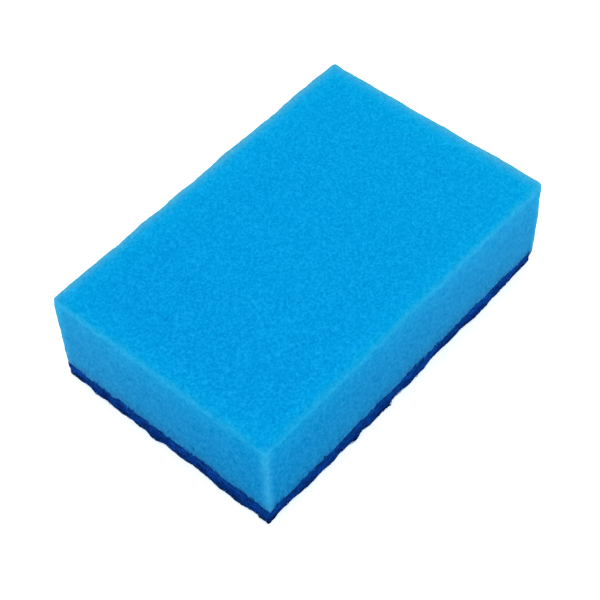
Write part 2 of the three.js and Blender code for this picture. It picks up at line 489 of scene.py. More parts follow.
def build_foam():
    lo, hi = FOAM_LO.copy(), FOAM_HI.copy()
    # The skin is set in a hair, so that its undulation stays near the CAD box.
    body_lo, body_hi = lo + (0.02, 0.02, 0.0), hi - (0.02, 0.02, 0.02)
    xs = spaced(body_lo[0], body_hi[0], 0.44)
    ys = spaced(body_lo[1], body_hi[1], 0.44)
    zs = spaced(body_lo[2], body_hi[2], 0.44, fine=0.22)
    slab = Slab(xs, ys, zs)
    p = slab.verts.copy()

    corner = np.sqrt(((p - (hi[0], lo[1], hi[2])) ** 2).sum(1))
    from_b = np.hypot(p[:, 0] - hi[0], p[:, 1] - lo[1])
    from_d = np.hypot(p[:, 0] - lo[0], p[:, 1] - hi[1])
    from_a = np.hypot(p[:, 0] - lo[0], p[:, 1] - lo[1])
    sharper = np.exp(-np.minimum(from_b, from_d) / 5.0) * smooth_step(hi[2] - p[:, 2], 0.9, 4.0)
    sharper = np.maximum(sharper, np.exp(-from_a / 4.0) * smooth_step(hi[2] - p[:, 2], 19.0, 24.0))
    radius = 0.72 + 0.22 * layered(p, 8.0, 2, 11) + 0.45 * np.exp(-corner / 4.0)
    radius = radius + (0.38 - radius) * sharper
    q, n = rounded(p, body_lo, body_hi, radius)
    flat = np.hypot(n[:, 0], n[:, 1])  # 1 on the sides, 0 on top

    out = foam_wander(q, flat)
    top_wave = 0.06 * soft_noise(q, (28.0, 28.0, 28.0), 23) + 0.02 * soft_noise(q, (9.0, 9.0, 9.0), 24)
    shift = n * 0.0
    shift[:, :2] += n[:, :2] * out[:, None]
    shift[:, 2] += n[:, 2] * top_wave
    q = q + shift

    # Open cells: shallow pits of about a millimetre with raised walls between them, and finer grain on top.
    f1, f2, rid = cell_noise(q, 1.10, 31)
    wall = smooth_step(f2 - f1, 0.0, 0.40)
    pit = (1 - smooth_step(f1, 0.05, 0.66)) * (0.30 + 0.70 * rid)
    relief = -0.060 * pit + 0.025 * (1 - wall)
    relief += 0.040 * soft_noise(q, 1.6, 43) + 0.022 * soft_noise(q, 0.8, 41)
    # A few burst cells, wider and deeper.
    b1, _, bid = cell_noise(q, 7.5, 53)
    burst = np.where(bid > 0.86, 1 - smooth_step(b1 * 7.5, 0.10, 0.55 + 0.4 * bid), 0.0)
    relief += -0.32 * burst
    near_glue = smooth_step(q[:, 2], lo[2] + 0.05, lo[2] + 0.6)
    q = q + n * (relief * (0.35 + 0.65 * near_glue))[:, None]
    hang = np.clip(0.15 + 0.18 * soft_noise(q, (2.8, 2.8, 40.0), 28) + 0.14 * soft_noise(q, (0.9, 0.9, 9.0), 29), 0.0, 0.30)
    q[:, 2] -= hang * (1 - smooth_step(q[:, 2], lo[2] + 0.15, lo[2] + 0.9))
    q[: slab.ring, 2] = lo[2]
    q[: slab.ring, :2] -= 0.45 * n[: slab.ring, :2]

    # Where each point is on its face: how far in from the rim on top, how far down and from the upright edges on the sides.
    pl = slab.verts
    dx = np.minimum(pl[:, 0] - body_lo[0], body_hi[0] - pl[:, 0])
    dy = np.minimum(pl[:, 1] - body_lo[1], body_hi[1] - pl[:, 1])
    # How far along a side from the front left corner, 0 to 1; the other two sides wander about the middle.
    n2x, n2y = n[:, 0] / np.maximum(flat, 1e-6), n[:, 1] / np.maximum(flat, 1e-6)
    middle = 0.55 + 0.25 * soft_noise(q, 30.0, 61)
    on_y = np.where(n2y < 0, (q[:, 0] - lo[0]) / (hi[0] - lo[0]), middle)
    on_x = np.where(n2x < 0, (q[:, 1] - lo[1]) / (hi[1] - lo[1]), middle)
    along = n2y**2 * on_y + n2x**2 * on_x
    foam = slab_mesh(
        "foam_block_soft",
        slab,
        q,
        floats={
            "along": along,
            "in_mm": np.minimum(dx, dy),
            "far_mm": np.minimum(0.88 * (body_hi[0] - pl[:, 0]), 1.06 * (body_hi[1] - pl[:, 1])),
            "down_mm": body_hi[2] - pl[:, 2],
            "upright_mm": np.maximum(1.3 * dx, dy),
            "side": flat,
            "up_mm": q[:, 2] - lo[2],
            "burst": burst,
            "pit": pit,
        },
    )
    return foam


# ----------------------------------------------------------------------------------------------------------------
# Adhesive film
# ----------------------------------------------------------------------------------------------------------------
def build_bond():
    lo, hi = BOND_LO, BOND_HI
    step = 0.5
    cx, cy = (lo[0] + hi[0]) / 2, (lo[1] + hi[1]) / 2
    a, b = (hi[0] - lo[0]) / 2, (hi[1] - lo[1]) / 2
    # Outline: a rectangle whose edge wanders where the film was squeezed out or fell short.
    pts, normals = [], []
    per = [(-a, -b, 1, 0, 2 * a), (a, -b, 0, 1, 2 * b), (a, b, -1, 0, 2 * a), (-a, b, 0, -1, 2 * b)]
    for x, y, ux, uy, length in per:
        n = int(length / step)
        for i in range(n):
            s = i * length / n
            pts.append((cx + x + ux * s, cy + y + uy * s, 0.0))
            normals.append((uy, -ux))
    pts, normals = np.array(pts), np.array(normals, float)
    creep = 0.22 + 0.08 * layered(pts, (4.0, 4.0, 1.0), 2, 71)
    ring = pts[:, :2] + normals * creep[:, None]
    n = len(ring)
    heights = [(lo[2], -0.12), (lo[2] + 0.06, 0.0), (hi[2] - 0.06, 0.0), (hi[2], -0.12)]
    verts = np.concatenate([np.column_stack([ring + normals * inset, np.full(n, z)]) for z, inset in heights])
    faces = []
    for k in range(len(heights) - 1):
        for i in range(n):
            j = (i + 1) % n
            faces.append((k * n + i, k * n + j, (k + 1) * n + j, (k + 1) * n + i))
    faces.append(tuple(range(n - 1, -1, -1)))
    faces.append(tuple((len(heights) - 1) * n + i for i in range(n)))
    mesh = bpy.data.meshes.new("bond_film")
    mesh.from_pydata((verts * MM).tolist(), [], faces)
    mesh.validate()
    o = bpy.data.objects.new("bond_film", mesh)
    scene.collection.objects.link(o)
    return o


# ----------------------------------------------------------------------------------------------------------------
# Scouring pad: a lumpy web and the loose fibres that show on it
# ----------------------------------------------------------------------------------------------------------------
# How far the cut edge of the pad stands out from the foam (+) or falls short of it (-), in millimetres, along two of its sides.
EDGE_FRONT = [
    (-50.00, -0.01), (-48.75, -0.10), (-47.50, -0.30), (-46.25, -0.43), (-45.00, -0.49), (-43.75, -0.45), (-42.50, -0.21), (-41.25, -0.20),
    (-40.00, -0.10), (-38.75, 0.06), (-37.50, 0.20), (-36.25, 0.12), (-35.00, 0.09), (-33.75, 0.15), (-32.50, 0.14), (-31.25, 0.29),
    (-30.00, 0.39), (-28.75, 0.44), (-27.50, 0.37), (-26.25, 0.01), (-25.00, 0.08), (-23.75, 0.14), (-22.50, 0.29), (-21.25, 0.62),
    (-20.00, 0.83), (-18.75, 0.48), (-17.50, 0.11), (-16.25, 0.30), (-15.00, 0.44), (-13.75, 0.35), (-12.50, 0.37), (-11.25, 0.38),
    (-10.00, 0.42), (-8.75, 0.50), (-7.50, 0.42), (-6.25, -0.01), (-5.00, -0.20), (-3.75, -0.12), (-2.50, 0.03), (-1.25, 0.19),
    (0.00, 0.30), (1.25, 0.06), (2.50, 0.10), (3.75, 0.23), (5.00, 0.34), (6.25, 0.25), (7.50, -0.13), (8.75, -0.36),
    (10.00, -0.57), (11.25, -0.68), (12.50, -0.78), (13.75, -0.45), (15.00, -0.11), (16.25, -0.03), (17.50, 0.09), (18.75, 0.06),
    (20.00, 0.01), (21.25, -0.02), (22.50, 0.05), (23.75, 0.23), (25.00, 0.19), (26.25, 0.16), (27.50, 0.24), (28.75, 0.16),
    (30.00, 0.11), (31.25, -0.07), (32.50, 0.03), (33.75, -0.10), (35.00, -0.09), (36.25, -0.12), (37.50, -0.38), (38.75, -0.30),
    (40.00, -0.28), (41.25, -0.25), (42.50, -0.22), (43.75, -0.31), (45.00, -0.45), (46.25, -0.45), (47.50, -0.35), (48.75, -0.39),
    (50.00, -0.50),
]  # fmt: skip
EDGE_LEFT = [
    (-32.50, 0.69), (-31.25, 0.75), (-30.00, 0.69), (-28.75, 0.44), (-27.50, 0.44), (-26.25, 0.60), (-25.00, 0.73), (-23.75, 0.78),
    (-22.50, 0.85), (-21.25, 0.58), (-20.00, 0.46), (-18.75, 0.71), (-17.50, 1.02), (-16.25, 0.80), (-15.00, 0.55), (-13.75, 0.40),
    (-12.50, 0.36), (-11.25, 0.26), (-10.00, 0.01), (-8.75, 0.05), (-7.50, 0.24), (-6.25, 0.43), (-5.00, 0.47), (-3.75, 0.19),
    (-2.50, 0.21), (-1.25, 0.20), (0.00, 0.07), (1.25, 0.65), (2.50, 1.20), (3.75, 1.17), (5.00, 0.64), (6.25, 0.33),
    (7.50, 0.38), (8.75, 0.43), (10.00, 0.52), (11.25, 0.57), (12.50, 0.60), (13.75, 0.56), (15.00, 0.50), (16.25, 0.60),
    (17.50, 0.28), (18.75, -0.00), (20.00, 0.12), (21.25, 0.33), (22.50, 0.38), (23.75, 0.21), (25.00, -0.06), (26.25, 0.15),
    (27.50, 0.20), (28.75, 0.23), (30.00, 0.31), (31.25, 0.19), (32.50, 0.15),
]  # fmt: skip


def edge_offset(p, n):
    """How far out the pad's cut edge is at points p with outward directions n."""
    flat = np.maximum(np.hypot(n[:, 0], n[:, 1]), 1e-6)
    nx, ny = n[:, 0] / flat, n[:, 1] / flat
    front = np.interp(p[:, 0], *np.array(EDGE_FRONT).T)
    left = np.interp(p[:, 1], *np.array(EDGE_LEFT).T)
    level = p * (1, 1, 0)
    free = 0.10 + 0.45 * soft_noise(level, 14.0, 801) + 0.25 * soft_noise(level, 6.5, 802)
    from_b = np.hypot(p[:, 0] - PAD_HI[0], p[:, 1] - PAD_LO[1])
    from_d = np.hypot(p[:, 0] - PAD_LO[0], p[:, 1] - PAD_HI[1])
    free = free * (1 - np.exp(-np.minimum(from_b, from_d) / 5.0))
    y_side = np.where(ny < 0, front, free)
    x_side = np.where(nx < 0, left, free)
    return ny**2 * y_side + nx**2 * x_side


def pad_surface(p, n, raw):
    """Moves points on the pad's rounded box to its lumpy surface, along n."""
    lo, hi = PAD_LO, PAD_HI
    low = 1 - smooth_step(raw[:, 2], 0.2, 3.8)  # 1 at the working face's edge
    side = np.hypot(n[:, 0], n[:, 1])
    corner_a = np.hypot(p[:, 0] - lo[0], p[:, 1] - lo[1])
    corner_b = np.hypot(p[:, 0] - hi[0], p[:, 1] - lo[1])
    corner_d = np.hypot(p[:, 0] - lo[0], p[:, 1] - hi[1])
    level = p * (1, 1, 0.25)
    f1, _, _ = cell_noise(level, 5.6, 811)
    scallop = 0.16 - 0.60 * np.minimum(f1, 0.9) ** 2
    web = 0.09 * soft_noise(p, (2.0, 2.0, 1.4), 83) + 0.08 * soft_noise(p, 0.8, 84)
    out = side * (edge_offset(p, n) * (0.40 + 0.60 * low) + scallop * (0.45 + 0.55 * low) + web)
    out = out + side * np.exp(-corner_a / 2.5) * 0.14
    q = p.copy()
    q[:, :2] += n[:, :2] * out[:, None]
    # Two corners are worn in a little.
    worn_b = np.exp(-corner_b / 2.5) * np.interp(raw[:, 2], (0.0, 0.8, 1.6, 2.6, 3.7, 4.3), (0.34, 0.42, 0.46, 0.24, -0.08, -0.10))
    worn_d = np.exp(-corner_d / 2.5) * np.interp(raw[:, 2], (0.0, 4.3), (0.20, 0.26))
    q[:, 0] += 0.707 * (worn_d - worn_b)
    q[:, 1] += 0.707 * (worn_b - worn_d)
    f1, _, rid = cell_noise(p, 1.4, 85)
    hollow = 0.10 + 0.09 * soft_noise(p, (5.0, 5.0, 50.0), 86) + 0.10 * soft_noise(p, 1.5, 87)
    hollow += 0.16 * (1 - smooth_step(f1, 0.1, 0.7)) * rid
    q[:, 2] += np.where(n[:, 2] < 0, -n[:, 2] * hollow, 0.0)
    return q


PAD_BODY_LO, PAD_BODY_HI = PAD_LO + (0.05, 0.05, 0.0), PAD_HI - (0.05, 0.05, 0.0)


def on_pad(raw):
    """Points on the pad's lumpy surface, and their outward directions, for points on its plain box."""
    radius = 0.55 + 0.20 * layered(raw, 6.0, 2, 80)
    radius = radius + (0.22 - radius) * np.exp(-np.hypot(raw[:, 0] - PAD_LO[0], raw[:, 1] - PAD_LO[1]) / 3.0)
    radius = radius + (0.25 - radius) * np.exp(-np.hypot(raw[:, 0] - PAD_HI[0], raw[:, 1] - PAD_LO[1]) / 3.0)
    q, n = rounded(raw, PAD_BODY_LO, PAD_BODY_HI, radius, glued_low=False)
    return pad_surface(q, n, raw), n


def build_pad():
    lo, hi = PAD_LO, PAD_HI
    xs = spaced(PAD_BODY_LO[0], PAD_BODY_HI[0], 0.50, fine=0.20)
    ys = spaced(PAD_BODY_LO[1], PAD_BODY_HI[1], 0.50, fine=0.20)
    zs = spaced(PAD_BODY_LO[2], PAD_BODY_HI[2], 0.30, hi_fine=False, fine=0.20)
    # The glued face is on top, so the slab is built upside down and turned over.
    slab = Slab(xs, ys, -zs[::-1])
    slab.verts[:, 2] *= -1
    q, n = on_pad(slab.verts.copy())
    q[: slab.ring, 2] = hi[2]
    q[:, 2] = np.clip(q[:, 2], lo[2] + 0.02, hi[2])
    return slab_mesh(
        "scouring_pad_web",
        slab,
        q,
        flip=True,
        floats={"tone_mm": np.where(n[:, 2] < -0.5, under_tone(q), q[:, 2])},
    )


def walk(rng, starts, angles, lengths, points, bend):
    """Curling paths in a plane: (fibres, points, 2)."""
    count = len(starts)
    step = lengths / (points - 1)
    turn = rng.normal(0, bend, (count, 1)) + rng.normal(0, bend, (count, points - 1)) * 1.2
    heading = angles[:, None] + np.cumsum(turn * step[:, None], 1)
    moves = np.stack([np.cos(heading), np.sin(heading)], 2) * step[:, None, None]
    return np.concatenate([starts[:, None, :], starts[:, None, :] + np.cumsum(moves, 1)], 1)


def under_tone(q):
    """The height the colour is taken at, for points q of the working face: its middle is the same colour as the sides,
    its rim darker with the painted shade of the sides' lower edge.
    """
    inset = np.minimum(np.minimum(q[:, 0] - PAD_LO[0], PAD_HI[0] - q[:, 0]), np.minimum(q[:, 1] - PAD_LO[1], PAD_HI[1] - q[:, 1]))
    return q[:, 2] + 2.0 * smooth_step(inset, 0.2, 1.2)


def fibre_mesh(name, paths, outward, radii, shade, underneath=False):
    """Three-sided closed tubes along paths (fibres, points, 3), in millimetres."""
    count, points, _ = paths.shape
    t = np.gradient(paths, axis=1)
    t /= np.maximum(np.linalg.norm(t, axis=2, keepdims=True), 1e-9)
    a = outward - (outward * t).sum(2, keepdims=True) * t
    a /= np.maximum(np.linalg.norm(a, axis=2, keepdims=True), 1e-9)
    b = np.cross(t, a)
    taper = np.ones(points)
    taper[[0, -1]] = 0.6
    r = radii[:, None] * taper[None, :]
    rings = []
    for k in range(3):
        w = 2 * math.pi * k / 3 + math.pi / 2
        rings.append(paths + (a * math.sin(w) + b * math.cos(w)) * r[:, :, None])
    verts = np.stack(rings, 2).reshape(-1, 3)  # fibre, point, corner
    base = (np.arange(count) * points * 3)[:, None, None]
    i = np.arange(points - 1)[None, :, None] * 3
    k = np.arange(3)[None, None, :]
    k1 = (k + 1) % 3
    quads = np.stack(
        [base + i + k, base + i + k1, base + i + 3 + k1, base + i + 3 + k], -1
    ).reshape(-1, 4)
    first = np.arange(count) * points * 3
    caps = np.concatenate(
        [np.stack([first + 2, first + 1, first], 1), np.stack([first, first + 1, first + 2], 1) + (points - 1) * 3]
    )
    nq, nc = len(quads), len(caps)
    mesh = bpy.data.meshes.new(name)
    mesh.vertices.add(len(verts))
    mesh.vertices.foreach_set("co", (verts * MM).astype(np.float32).ravel())
    loops = np.concatenate([quads.ravel(), caps.ravel()]).astype(np.int32)
    mesh.loops.add(len(loops))
    mesh.loops.foreach_set("vertex_index", loops)
    mesh.polygons.add(nq + nc)
    mesh.polygons.foreach_set(
        "loop_start", np.concatenate([np.arange(nq) * 4, nq * 4 + np.arange(nc) * 3]).astype(np.int32)
    )
    mesh.polygons.foreach_set("loop_total", np.concatenate([np.full(nq, 4), np.full(nc, 3)]).astype(np.int32))
    mesh.update(calc_edges=True)
    mesh.polygons.foreach_set("use_smooth", np.ones(nq + nc, bool))

    # Each fibre has a cell of its own on the UV sheet, its length across and its girth up.
    across = math.ceil(math.sqrt(count))
    fibre = loops // (points * 3)
    along = (loops // 3) % points
    girth = (loops % 3).astype(float)
    quad_corner = np.arange(nq * 4) % 4
    wrap = np.zeros(len(loops), bool)
    wrap[: nq * 4] = ((quad_corner == 1) | (quad_corner == 2)) & (loops[: nq * 4] % 3 == 0)
    girth[wrap] = 3.0
    u = (fibre % across + 0.06 + 0.88 * along / (points - 1)) / across
    v = (fibre // across + 0.06 + 0.88 * girth / 3) / across
    mesh.uv_layers.new(name="OFBake").data.foreach_set("uv", np.stack([u, v], 1).astype(np.float32).ravel())
    mesh.attributes.new("shade", "FLOAT", "POINT").data.foreach_set(
        "value", np.repeat(shade, points * 3).astype(np.float32)
    )
    tone = under_tone(verts) if underneath else verts[:, 2]
    mesh.attributes.new("tone_mm", "FLOAT", "POINT").data.foreach_set("value", tone.astype(np.float32))
    mesh.validate()
    o = bpy.data.objects.new(name, mesh)
    scene.collection.objects.link(o)
    return o


def on_perimeter(u, z):
    """Points on the plain box's sides: u millimetres round from the front left corner, at height z."""
    lo, hi = PAD_BODY_LO, PAD_BODY_HI
    a, b = hi[0] - lo[0], hi[1] - lo[1]
    u = np.mod(u, 2 * (a + b))
    x = np.where(u < a, lo[0] + u, np.where(u < a + b, hi[0], np.where(u < 2 * a + b, hi[0] - (u - a - b), lo[0])))
    y = np.where(u < a, lo[1], np.where(u < a + b, lo[1] + u - a, np.where(u < 2 * a + b, hi[1], hi[1] - (u - 2 * a - b))))
    return np.stack([x, y, z], -1)


def lay_on_foam(q, n, over, gap):
    """Moves points q (fibres, points, 3) with outward directions n on to the foam's sides, by over (0 to 1) and gap millimetres out from them."""
    lo, hi = FOAM_LO + (0.02, 0.02, 0.0), FOAM_HI - (0.02, 0.02, 0.02)
    on_box = q.copy()
    for axis in (0, 1):
        side = n[..., axis]
        on_box[..., axis] = np.where(side < -0.7, lo[axis], np.where(side > 0.7, hi[axis], np.clip(q[..., axis], lo[axis], hi[axis])))
    wander = foam_wander(on_box.reshape(-1, 3), 1.0).reshape(q.shape[:2]) + gap
    for axis in (0, 1):
        c, side = q[..., axis], n[..., axis]
        c = np.where(side < -0.7, c + over * (lo[axis] - wander - c), c)
        c = np.where(side > 0.7, c + over * (hi[axis] + wander - c), c)
        q[..., axis] = c
    return q


def build_side_fibres(count=3900, points=9):
    """The fibres that show on the pad's cut sides, a few of them standing up past the glue line."""
    rng = np.random.default_rng(4021)
    lo, hi = PAD_BODY_LO, PAD_BODY_HI
    round_mm = 2 * (hi[0] - lo[0] + hi[1] - lo[1])
    start = np.stack([rng.uniform(0, round_mm, count), rng.uniform(0.1, hi[2] + 0.05, count)], 1)
    angle = rng.normal(0, 0.42, count) + np.where(rng.random(count) < 0.5, math.pi, 0.0)
    length = rng.uniform(2.6, 7.0, count)
    rising = rng.random(count) < 0.20
    start[rising, 1] = rng.uniform(3.6, 4.25, rising.sum())
    angle[rising] = rng.normal(math.pi / 2, 0.55, rising.sum())
    length[rising] = rng.uniform(0.8, 2.2, rising.sum())
    place = np.column_stack([start[:, 0], np.zeros(count), np.zeros(count)])
    tuft = smooth_step(soft_noise(place, 4.2, 91) + 0.7 * soft_noise(place, 1.7, 92), -0.55, 0.55)
    flat = walk(rng, start, angle, length, points, 0.22)
    u, z = flat[..., 0], flat[..., 1]
    top = np.where(rising, hi[2] + 0.10 + (0.15 + 0.85 * tuft) * rng.uniform(0.1, 1.15, count), hi[2] + 0.08)[:, None]
    floor = 0.16 + 0.25 * rng.random((count, 1))
    z = floor + np.abs(z - floor)
    z = top - np.abs(top - z)
    raw = on_perimeter(u, np.clip(z, 0.1, hi[2])).reshape(-1, 3)
    q, n = on_pad(raw)
    n = n * (1, 1, 0)
    n /= np.maximum(np.linalg.norm(n, axis=1, keepdims=True), 1e-6)
    q = q.reshape(count, points, 3)
    n = n.reshape(count, points, 3)
    q[..., 2] += np.maximum(z - hi[2], 0.0)
    share = np.linspace(0, 1, points)[None, :]
    loose = np.where(rng.random(count) < 0.05, rng.uniform(0.15, 0.40, count), rng.uniform(0.02, 0.16, count))
    lift = -0.05 + loose[:, None] * np.sin(math.pi * share) ** 0.7 + rng.normal(0, 0.02, (count, points))
    lift = lift + 0.05 * rng.random((count, 1))
    q = q + n * lift[..., None]
    # Past the glue line the fibres lie on the foam, not in it.
    over = smooth_step(q[..., 2], hi[2] - 0.15, hi[2] + 0.15)
    q = lay_on_foam(q, n, over, rng.uniform(0.04, 0.12, (count, 1)))
    radius = rng.uniform(0.050, 0.085, count)
    q[..., 2] = np.maximum(q[..., 2], radius[:, None] + 0.01)
    return fibre_mesh("scouring_pad_side_fibres", q, n, radius, rng.random(count))


def build_glue_line_fibres(tufts=1150, each=4, points=5):
    """Short ends that stand up out of the pad's top edge in small tufts, over the glue line and on to the foam."""
    rng = np.random.default_rng(1201)
    lo, hi = PAD_BODY_LO, PAD_BODY_HI
    round_mm = 2 * (hi[0] - lo[0] + hi[1] - lo[1])
    count = tufts * each
    middle = rng.uniform(0, round_mm, tufts)
    place = np.column_stack([middle, np.zeros(tufts), np.zeros(tufts)])
    clump = np.clip(0.5 + 0.6 * soft_noise(place, 3.3, 191) + 0.3 * soft_noise(place, 1.2, 192), 0.1, 1.1)
    tuft_top = np.clip(4.20 + 1.00 * clump * rng.exponential(1.0, tufts), 4.3, 5.8)
    # At the two outer corners they stop at the glue line, so the outline there stays clean.
    corner = on_perimeter(middle, np.full(tufts, hi[2]))
    to_b = np.hypot(hi[0] - corner[:, 0], corner[:, 1] - lo[1])
    to_d = np.hypot(corner[:, 0] - lo[0], hi[1] - corner[:, 1])
    tuft_top = np.where(np.minimum(to_b, to_d) < 2.0, 4.2, tuft_top)
    tuft_lean = rng.normal(0, 0.28, tufts)
    u0 = np.repeat(middle, each) + rng.normal(0, 0.07, count)
    z0 = rng.uniform(3.5, 4.1, count)
    reach = (np.repeat(tuft_top, each) - 4.1) * rng.uniform(0.65, 1.0, count) + 4.1 - z0
    lean = np.repeat(tuft_lean, each) + rng.normal(0, 0.12, count)
    bend = rng.normal(0, 0.10, count)
    share = np.linspace(0, 1, points)[None, :]
    u = u0[:, None] + reach[:, None] * (np.tan(lean)[:, None].clip(-1.2, 1.2) * share + bend[:, None] * share**2)
    z = z0[:, None] + reach[:, None] * share
    q, n = on_pad(on_perimeter(u, np.clip(z, 0.1, hi[2])).reshape(-1, 3))
    n = n * (1, 1, 0)
    n /= np.maximum(np.linalg.norm(n, axis=1, keepdims=True), 1e-6)
    q, n = q.reshape(count, points, 3), n.reshape(count, points, 3)
    q[..., 2] = z
    q = q + n * rng.uniform(0.0, 0.06, (count, 1, 1))
    over = smooth_step(z, hi[2] - 0.25, hi[2] + 0.15)
    q = lay_on_foam(q, n, over, rng.uniform(0.03, 0.12, (count, 1)))
    return fibre_mesh("scouring_pad_glue_line_fibres", q, n, rng.uniform(0.050, 0.085, count), rng.random(count))


def build_face_fibres(count=3100, points=11):
    """The curled fibres of the working face, underneath."""
    rng = np.random.default_rng(977)
    lo, hi = PAD_BODY_LO, PAD_BODY_HI
    start = np.stack([rng.uniform(lo[0] + 0.4, hi[0] - 0.4, count), rng.uniform(lo[1] + 0.4, hi[1] - 0.4, count)], 1)
    angle = rng.uniform(0, 2 * math.pi, count)
    length = rng.uniform(5.0, 13.0, count)
    flat = walk(rng, start, angle, length, points, 0.16)
    for axis in (0, 1):
        a, b = lo[axis] + 0.3, hi[axis] - 0.3
        c = flat[..., axis]
        c = a + np.abs(c - a)
        flat[..., axis] = b - np.abs(b - c)
    raw = np.concatenate([flat, np.full((count, points, 1), lo[2])], 2).reshape(-1, 3)
    q, n = on_pad(raw)
    q, n = q.reshape(count, points, 3), np.broadcast_to(np.array([0.0, 0.0, -1.0]), (count, points, 3))
    share = np.linspace(0, 1, points)[None, :]
    lift = -0.04 + rng.uniform(0.02, 0.22, (count, 1)) * np.sin(math.pi * share) ** 0.7
    radius = rng.uniform(0.055, 0.09, count)
    q[..., 2] = np.maximum(q[..., 2] - lift, radius[:, None] + 0.01)
    return fibre_mesh("scouring_pad_face_fibres", q, n, radius, rng.random(count), underneath=True)


foam = build_foam()
bond = build_bond()
pad = build_pad()
side_fibres = build_side_fibres()
glue_line_fibres = build_glue_line_fibres()
face_fibres = build_face_fibres()


# ----------------------------------------------------------------------------------------------------------------
# Materials
# ----------------------------------------------------------------------------------------------------------------
# The foam's colour by place, in millimetres: above zero is in from the rim on top, below zero is down from the rim on a
# side. The lighter band either side of the rim is a painted highlight, the sides' lift in red is painted sheen, and the
# darkening down the sides towards the glue line is painted shade.
FOAM_BY_PLACE = [
    (-25.9, (0.0140, 0.1800, 0.4900)),
    (-25.0, (0.0150, 0.1950, 0.5100)),
    (-24.5, (0.0155, 0.2080, 0.5120)),
    (-24.0, (0.0158, 0.2140, 0.5080)),
    (-23.0, (0.0150, 0.2242, 0.5120)),
    (-22.0, (0.0139, 0.2441, 0.5447)),
    (-20.0, (0.0124, 0.2616, 0.5783)),
    (-15.0, (0.0114, 0.2682, 0.6010)),
    (-10.0, (0.0114, 0.2771, 0.6163)),
    (-6.0, (0.0110, 0.2966, 0.6443)),
    (-3.0, (0.0115, 0.3178, 0.6644)),
    (-2.0, (0.0157, 0.3582, 0.7135)),
    (-1.0, (0.0159, 0.3860, 0.7472)),
    (0.0, (0.0086, 0.3835, 0.7578)),
    (0.5, (0.0046, 0.3809, 0.7689)),
    (1.0, (0.0016, 0.3700, 0.7783)),
    (1.5, (0.0007, 0.3657, 0.7865)),
    (3.0, (0.0007, 0.3572, 0.7872)),
    (5.0, (0.0006, 0.3465, 0.7765)),
    (8.0, (0.0007, 0.3410, 0.7707)),
]
# How much painted sheen shows on the far rims, by distance in from the rim
FAR_RIM_SHEEN = [
    (0.0, 0.66), (0.5, 0.64), (0.75, 0.56), (1.0, 0.41), (1.5, 0.20), (2.0, 0.10), (2.5, 0.05), (3.0, 0.026), (4.0, 0.005),
    (5.0, 0.0),
]  # fmt: skip
RISE = (-0.42, -0.40, 0.815)
CELL_STRETCH = 1.8
FOAM_LIGHT = 1.42  # what a white matt surface would show there


